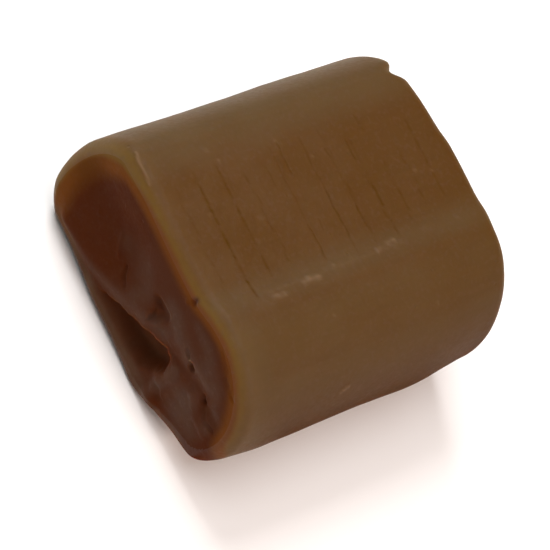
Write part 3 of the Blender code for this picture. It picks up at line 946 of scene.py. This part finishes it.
def make_fudge_material(name, finish, roughness, specular, depth, least_flecks):
    """Fudge: boiled sugar and milk fat, dense and slightly see-through.

    Light spreads a millimetre or two inside it, red the furthest, which gives its thin rims an
    amber glow. Roughness is the smoothest and the roughest place, depth how far light spreads, and
    least_flecks how strongly the flecks show where there is no film.
    """
    material = bpy.data.materials.new(name)
    material.use_nodes = True
    shader = material.node_tree.nodes["Principled BSDF"]
    link = material.node_tree.links.new
    place = add_node(material, "ShaderNodeTexCoord").outputs["Object"]

    noises = {}
    for what, size, detail, coarse in (
        ("mottle", 3.0 * MM, 4.0, 0.6),     # uneven cooling, in patches of about 3 mm
        ("soft", 1.2 * MM, 2.0, 0.5),       # finger-soft unevenness
        ("flecks", 0.35 * MM, 2.0, 0.5),    # pale flecks of dry sugar
        ("grain", 0.3 * MM, 3.0, 0.6),      # fine sugar grain
    ):
        noises[what] = add_node(material, "ShaderNodeTexNoise",
                                {"Scale": 1 / size, "Detail": detail, "Roughness": coarse},
                                {"Vector": place}).outputs["Fac"]
    # Pinholes about 0.2 mm wide, left by small air bubbles, one every 2 mm or so
    bubbles = add_node(material, "ShaderNodeTexVoronoi",
                       {"Scale": 1 / (2.2 * MM)}, {"Vector": place})
    pinholes = add_node(material, "ShaderNodeMapRange", {"From Min": 0.03, "From Max": 0.07},
                        {"Value": bubbles.outputs["Distance"]})

    patches = add_node(material, "ShaderNodeMapRange",
                       {"From Min": 0.35, "From Max": 0.65}, {"Value": noises["mottle"]})
    # Faint streaks along the block where it was rolled and pulled, about 0.5 mm wide and 6 mm long
    stretched = add_node(material, "ShaderNodeMapping",
                         {"Scale": (1.0, 0.08, 1.0)}, {"Vector": place})
    streaks = add_node(material, "ShaderNodeTexNoise",
                       {"Scale": 1 / (0.5 * MM), "Detail": 3.0, "Roughness": 0.6},
                       {"Vector": stretched.outputs["Vector"]})
    streak = add_node(material, "ShaderNodeMapRange",
                      {"From Min": 0.45, "From Max": 0.75, "To Max": 0.07},
                      {"Value": streaks.outputs["Fac"]})
    colour = add_node(material, "ShaderNodeMix",
                      {"data_type": "RGBA", MIX_UNDER: tuple(finish.skin),
                       MIX_OVER: tuple(finish.skin_deep)},
                      {MIX_SHARE: patches.outputs["Result"]})
    # Each layer of colour shows as strongly as the number kept on the vertices under its name
    strengths = {}
    for layer in LAYERS_OF_COLOUR:
        strengths[layer] = add_node(material, "ShaderNodeAttribute",
                                    {"attribute_name": layer}).outputs["Fac"]
        colour = add_node(material, "ShaderNodeMix",
                          {"data_type": "RGBA", MIX_OVER: tuple(getattr(finish, layer))},
                          {MIX_SHARE: strengths[layer], MIX_UNDER: colour.outputs[MIXED]})
    # The flecks of dry sugar lie all over, a little more of them where the knife smeared the film
    fleck = add_node(material, "ShaderNodeMapRange",
                     {"From Min": 0.52, "From Max": 0.70, "To Max": 0.24},
                     {"Value": noises["flecks"]})
    flecked = add_node(material, "ShaderNodeMath",
                       {"operation": "MAXIMUM", 1: least_flecks}, {0: strengths["film"]})
    fleck_share = add_node(material, "ShaderNodeMath", {"operation": "MULTIPLY"},
                           {0: fleck.outputs["Result"], 1: flecked.outputs["Value"]})
    colour = add_node(material, "ShaderNodeMix",
                      {"data_type": "RGBA", MIX_OVER: tuple(finish.fleck)},
                      {MIX_SHARE: fleck_share.outputs["Value"], MIX_UNDER: colour.outputs[MIXED]})
    colour = add_node(material, "ShaderNodeMix",
                      {"data_type": "RGBA", "blend_type": "MULTIPLY",
                       MIX_OVER: tuple(finish.streak)},
                      {MIX_SHARE: streak.outputs["Result"], MIX_UNDER: colour.outputs[MIXED]})
    link(colour.outputs[MIXED], shader.inputs["Base Color"])

    rough = add_node(material, "ShaderNodeMapRange",
                     {"From Min": 0.3, "From Max": 0.7,
                      "To Min": roughness[0], "To Max": roughness[1]},
                     {"Value": noises["grain"]})
    link(rough.outputs["Result"], shader.inputs["Roughness"])
    # The lines are too narrow to shine, and the low side, under its painted shade, is dull
    dull = add_node(material, "ShaderNodeMath", {"operation": "MULTIPLY_ADD", 1: LOW_SIDE_DULL},
                    {0: strengths["low_side"], 2: strengths["line"]})
    shine = add_node(material, "ShaderNodeMapRange", {"To Min": specular, "To Max": 0.0},
                     {"Value": dull.outputs["Value"]})
    link(shine.outputs["Result"], shader.inputs["Specular IOR Level"])
    low_bump = add_node(material, "ShaderNodeBump", {"Strength": 0.6, "Distance": 0.05 * MM},
                        {"Height": noises["soft"]})
    fine_bump = add_node(material, "ShaderNodeBump", {"Strength": 0.4, "Distance": 0.03 * MM},
                         {"Height": noises["grain"], "Normal": low_bump.outputs["Normal"]})
    pin_bump = add_node(material, "ShaderNodeBump", {"Strength": 0.6, "Distance": 0.05 * MM},
                        {"Height": pinholes.outputs["Result"],
                         "Normal": fine_bump.outputs["Normal"]})
    link(pin_bump.outputs["Normal"], shader.inputs["Normal"])

    shader.inputs["IOR"].default_value = 1.46
    shader.inputs["Subsurface Weight"].default_value = 0.5
    shader.inputs["Subsurface Radius"].default_value = (1.0, 0.42, 0.16)
    shader.inputs["Subsurface Scale"].default_value = depth
    return material


def make_skin_material(finish):
    """Pressed and rolled fudge. Its greasy skin gives a broad satin sheen, without sharp glints."""
    return make_fudge_material("soft_fudge_pressed", finish, roughness=(0.50, 0.60),
                               specular=0.13, depth=1.4 * MM, least_flecks=0.7)


def make_cut_material(finish):
    """Knife-cut fudge. The cut is dull, darker and redder inside, and smeared in its middle."""
    return make_fudge_material("soft_fudge_knife_cut", finish, roughness=(0.60, 0.75),
                               specular=0.03, depth=1.0 * MM, least_flecks=0.25)


class FUDGE_OT_bar(bpy.types.Operator):
    """Make the bar of fudge in place of the plain solid"""

    bl_idname = "fudge.bar"
    bl_label = "Bar of fudge"

    def execute(self, context):
        scene = context.scene
        mesh = make_block_mesh(scene.fudge_shape)
        mesh.shade_smooth()
        mesh.materials.append(make_skin_material(scene.fudge_finish))
        mesh.materials.append(make_cut_material(scene.fudge_finish))
        piece = bpy.data.objects.new("fudge", mesh)
        scene.collection.objects.link(piece)
        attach(piece, "root")
        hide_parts(NODE)
        return {"FINISHED"}


# ---- stage


def make_floor(stage):
    """A wide sheet of matt white board under the block."""
    grid = bmesh.new()
    bmesh.ops.create_grid(grid, x_segments=1, y_segments=1, size=FLOOR_REACH)
    mesh = bpy.data.meshes.new("floor")
    grid.to_mesh(mesh)
    grid.free()
    material = bpy.data.materials.new("matt_white_board")
    material.use_nodes = True
    shader = material.node_tree.nodes["Principled BSDF"]
    shader.inputs["Base Color"].default_value = tuple(stage.floor)
    shader.inputs["Roughness"].default_value = 0.9
    shader.inputs["Specular IOR Level"].default_value = 0.1
    mesh.materials.append(material)
    floor = bpy.data.objects.new("floor", mesh)
    floor.location.z = BOX_LOW.z
    bpy.context.scene.collection.objects.link(floor)


def put_in_place(name, data, place, turn):
    """A light or camera at a place, with its turn as a quaternion."""
    thing = bpy.data.objects.new(name, data)
    thing.location = place
    thing.rotation_mode = "QUATERNION"
    thing.rotation_quaternion = turn
    bpy.context.scene.collection.objects.link(thing)
    return thing


def add_area_light(name, place, aim, size, power, colour):
    """A square soft light at place, turned towards aim."""
    data = bpy.data.lights.new(name, "AREA")
    data.color = linear(colour)[:3]
    data.size = size
    data.energy = power
    put_in_place(name, data, place, (aim - place).to_track_quat("-Z", "Y"))


def add_camera(stage, aim):
    """The camera, looking down on the block and rolled about its line of sight."""
    back = Vector((math.sin(stage.azimuth) * math.cos(stage.elevation),
                   -math.cos(stage.azimuth) * math.cos(stage.elevation),
                   math.sin(stage.elevation)))
    data = bpy.data.cameras.new("camera")
    data.lens = stage.lens
    data.sensor_width = 36.0
    data.clip_start, data.clip_end = 0.01, 10.0
    turn = (-back).to_track_quat("-Z", "Y") @ Quaternion((0, 0, 1), stage.roll)
    place = aim + back * stage.distance
    bpy.context.scene.camera = put_in_place("camera", data, place, turn)


class FUDGE_OT_stage(bpy.types.Operator):
    """Make the floor, the soft light and the camera"""

    bl_idname = "fudge.stage"
    bl_label = "Stage"

    def execute(self, context):
        scene = context.scene
        stage = scene.fudge_stage
        centre = (BOX_LOW + BOX_HIGH) / 2
        make_floor(stage)
        for name, power, place, size, colour in LIGHTS:
            add_area_light(name, Vector(place), centre, size, getattr(stage, power), colour)
        world = bpy.data.worlds.new("studio")
        world.use_nodes = True
        background = world.node_tree.nodes["Background"]
        background.inputs["Color"].default_value = linear("#FFFFFF")
        background.inputs["Strength"].default_value = WORLD_STRENGTH
        scene.world = world
        scene.view_settings.view_transform = "Standard"
        add_camera(stage, centre + Vector(CAMERA_AIM) * MM)
        return {"FINISHED"}


class FUDGE_PT_panel(bpy.types.Panel):
    """Sizes, colours and steps of the fudge bar"""

    bl_label = "Fudge bar"
    bl_idname = "FUDGE_PT_panel"
    bl_space_type = "VIEW_3D"
    bl_region_type = "UI"
    bl_category = "Fudge"

    def draw(self, context):
        for title, settings, operator in (
            ("Shape", context.scene.fudge_shape, None),
            ("Finish", context.scene.fudge_finish, FUDGE_OT_bar),
            ("Stage", context.scene.fudge_stage, FUDGE_OT_stage),
        ):
            box = self.layout.box()
            box.label(text=title)
            for name in settings.__annotations__:
                box.prop(settings, name)
            if operator:
                box.operator(operator.bl_idname)


SETTINGS = {
    "fudge_shape": FudgeShapeSettings,
    "fudge_finish": FudgeFinishSettings,
    "fudge_stage": FudgeStageSettings,
}
PARTS = (FUDGE_OT_bar, FUDGE_OT_stage, FUDGE_PT_panel)


def register():
    for name, settings in SETTINGS.items():
        bpy.utils.register_class(settings)
        setattr(bpy.types.Scene, name, bpy.props.PointerProperty(type=settings))
    for part in PARTS:
        bpy.utils.register_class(part)


def unregister():
    for part in reversed(PARTS):
        bpy.utils.unregister_class(part)
    for name, settings in reversed(SETTINGS.items()):
        delattr(bpy.types.Scene, name)
        bpy.utils.unregister_class(settings)


def main():
    register()
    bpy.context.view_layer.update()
    bpy.ops.fudge.bar()
    bpy.ops.fudge.stage()


if __name__ == "__main__":
    main()
